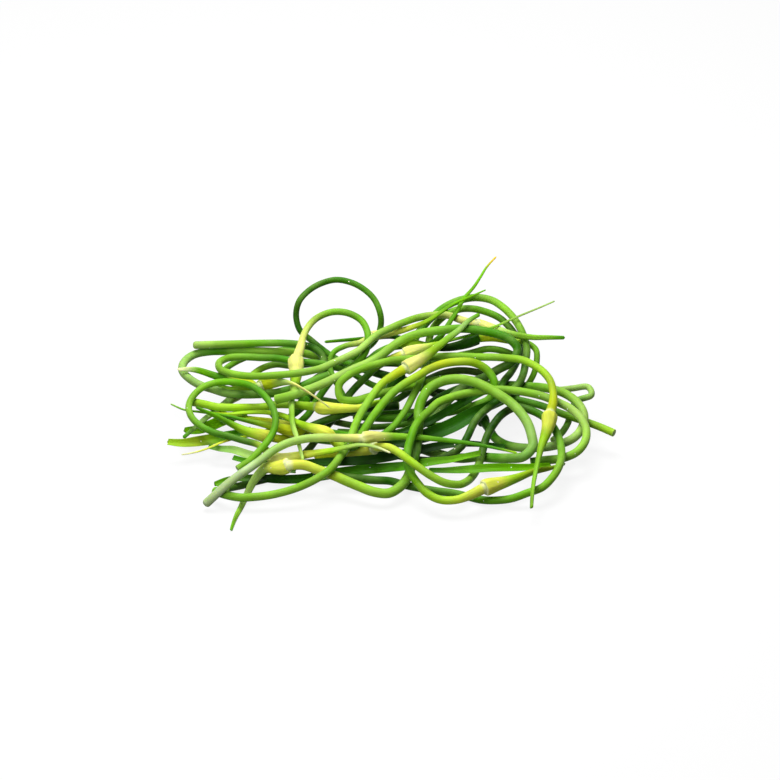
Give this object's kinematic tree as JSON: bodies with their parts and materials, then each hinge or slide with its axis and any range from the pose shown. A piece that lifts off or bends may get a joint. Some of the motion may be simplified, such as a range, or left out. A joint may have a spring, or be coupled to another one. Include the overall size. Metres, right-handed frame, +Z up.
{
  "type": "bunch of garlic scapes",
  "caption": "Loose untied bunch of curling garlic scapes with pale pointed buds and a few flat leaf blades, lying in a tangled heap.",
  "frame": {"origin": "on the table, under the middle of the heap's box", "axes": "+X along the heap's length, to the right seen from its front; +Z up; the heap faces -Y"},
  "size_m": [0.3356, 0.2786, 0.0781],
  "materials": {
    "stalk": "satin green plant skin",
    "bud": "satin pale yellow-green plant skin",
    "blade": "satin green leaf"
  },
  "bodies": {
    "root": {"tall_loop_stalk": "stalk", "tall_loop_bud": "bud", "shepherds_crook_stalk": "stalk", "shepherds_crook_bud": "bud", "long_light_stalk": "stalk", "long_light_bud": "bud", "long_dark_stalk": "stalk", "long_dark_bud": "bud", "diagonal_stalk": "stalk", "diagonal_bud": "bud", "under_diagonal_stalk": "stalk", "under_diagonal_bud": "bud", "behind_light_stalk": "stalk", "behind_light_bud": "bud", "back_right_stalk": "stalk", "back_right_bud": "bud", "outer_arch_stalk": "stalk", "outer_arch_bud": "bud", "inner_arch_stalk": "stalk", "inner_arch_bud": "bud", "right_hook_stalk": "stalk", "right_hook_bud": "bud", "yellow_arch_stalk": "stalk", "yellow_arch_bud": "bud", "front_right_stalk": "stalk", "front_right_bud": "bud", "wide_ring_stalk": "stalk", "wide_ring_bud": "bud", "front_ring_stalk": "stalk", "front_ring_bud": "bud", "front_bar_stalk": "stalk", "front_bar_bud": "bud", "left_ring_stalk": "stalk", "left_ring_bud": "bud", "left_hook_stalk": "stalk", "left_hook_bud": "bud", "left_sweep_stalk": "stalk", "left_sweep_bud": "bud", "middle_left_stalk": "stalk", "middle_left_bud": "bud", "left_curl_stalk": "stalk", "left_curl_bud": "bud", "left_point_stalk": "stalk", "left_point_bud": "bud", "left_outward_stalk": "stalk", "left_outward_bud": "bud", "low_left_stalk": "stalk", "low_left_bud": "bud", "right_ring_stalk": "stalk", "right_ring_bud": "bud", "right_hairpin_stalk": "stalk", "right_hairpin_bud": "bud", "blade_olive": "blade", "blade_bright": "blade", "blade_grey": "blade", "blade_dark": "blade", "blade_low": "blade", "blade_middle": "blade", "blade_inner": "blade", "blade_front": "blade"}
  },
  "joints": []
}
